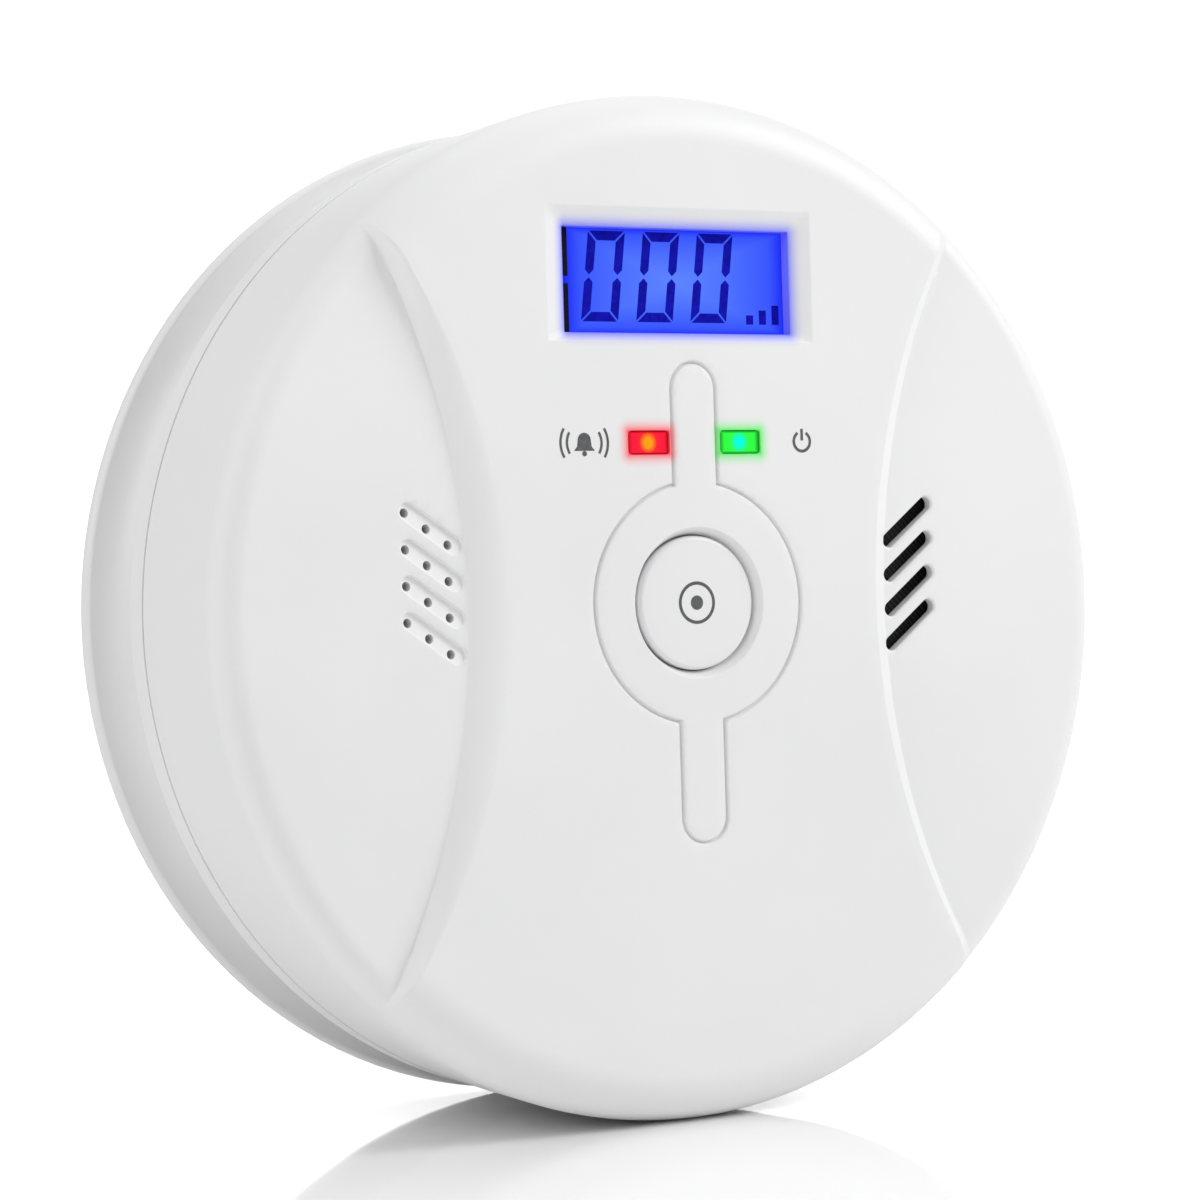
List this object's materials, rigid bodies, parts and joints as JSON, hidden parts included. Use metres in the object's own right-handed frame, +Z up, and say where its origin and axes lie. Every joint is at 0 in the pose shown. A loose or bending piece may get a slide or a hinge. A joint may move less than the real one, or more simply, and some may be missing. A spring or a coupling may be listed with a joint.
{
  "type": "carbon monoxide detector",
  "caption": "Round battery carbon monoxide alarm with a lit display, test button, two lamps, sounder holes and gas vents, on a twist-lock wall plate.",
  "frame": {"origin": "centre of the wall plate's back face, in the plane of the wall", "axes": "+Z up the wall, the front faces -Y, +Y points into the wall, +X to the right seen from the front"},
  "size_m": [0.1, 0.035, 0.1],
  "materials": {
    "white_plastic": "satin moulded ABS",
    "zinc_steel": "bright zinc",
    "board_green": "solder resist",
    "black_plastic": "moulded",
    "tinned_copper": "bright tin",
    "lit_display": "backlit glass",
    "diffuser_plastic": "opal",
    "red_lamp": "clear tinted epoxy",
    "green_lamp": "clear tinted epoxy",
    "stainless_steel": "deep drawn",
    "nickel_plate": "nickel plated",
    "brass": "rolled",
    "piezo_ceramic": "fired",
    "lead_insulation": "PVC",
    "black_screen": "woven dust screen",
    "cell_jacket": "printed shrink sleeve",
    "capacitor_sleeve": "PVC sleeve",
    "ferrite": "pressed",
    "enamelled_copper": "enamel"
  },
  "bodies": {
    "wall_plate": {"mounting_plate": "white_plastic"},
    "alarm_unit": {"rear_housing": "white_plastic", "front_cover": "white_plastic", "case_screws": "zinc_steel", "board_screws": "zinc_steel", "circuit_board": "board_green", "switch_body": "black_plastic", "switch_legs": "tinned_copper", "lcd_glass": "lit_display", "lcd_backlight": "diffuser_plastic", "lcd_pins": "tinned_copper", "alarm_lamp": "red_lamp", "power_lamp": "green_lamp", "lamp_leads": "tinned_copper", "sensor_can": "stainless_steel", "sensor_cap": "stainless_steel", "sensor_tabs": "nickel_plate", "sounder_disc": "brass", "sounder_ceramic": "piezo_ceramic", "sounder_leads": "lead_insulation", "vent_screen": "black_screen", "battery_jackets": "cell_jacket", "battery_terminals": "nickel_plate", "battery_springs": "nickel_plate", "contact_plates": "nickel_plate", "controller_chip": "black_plastic", "chip_pins": "tinned_copper", "chip_resistors": "piezo_ceramic", "storage_capacitor": "capacitor_sleeve", "boost_coil_core": "ferrite", "boost_coil_winding": "enamelled_copper"},
    "button": {"test_button": "white_plastic"},
    "plunger": {"switch_plunger": "black_plastic"}
  },
  "joints": [
    {"name": "twist_lock", "type": "hinge", "parent": "wall_plate", "child": "alarm_unit", "pos_m": [0, 0, 0], "axis": [0, -1, 0], "range_deg": [0, 16]},
    {"name": "button_press", "type": "slide", "parent": "alarm_unit", "child": "button", "axis": [0, 1, 0], "range_m": [0, 0.0004], "stiffness_N_per_m": 400},
    {"name": "plunger_press", "type": "slide", "parent": "alarm_unit", "child": "plunger", "axis": [0, 1, 0], "range_m": [0, 0.0004]}
  ],
  "couplings": [
    {"joint": "plunger_press", "follows": "button_press", "ratio": 1}
  ]
}
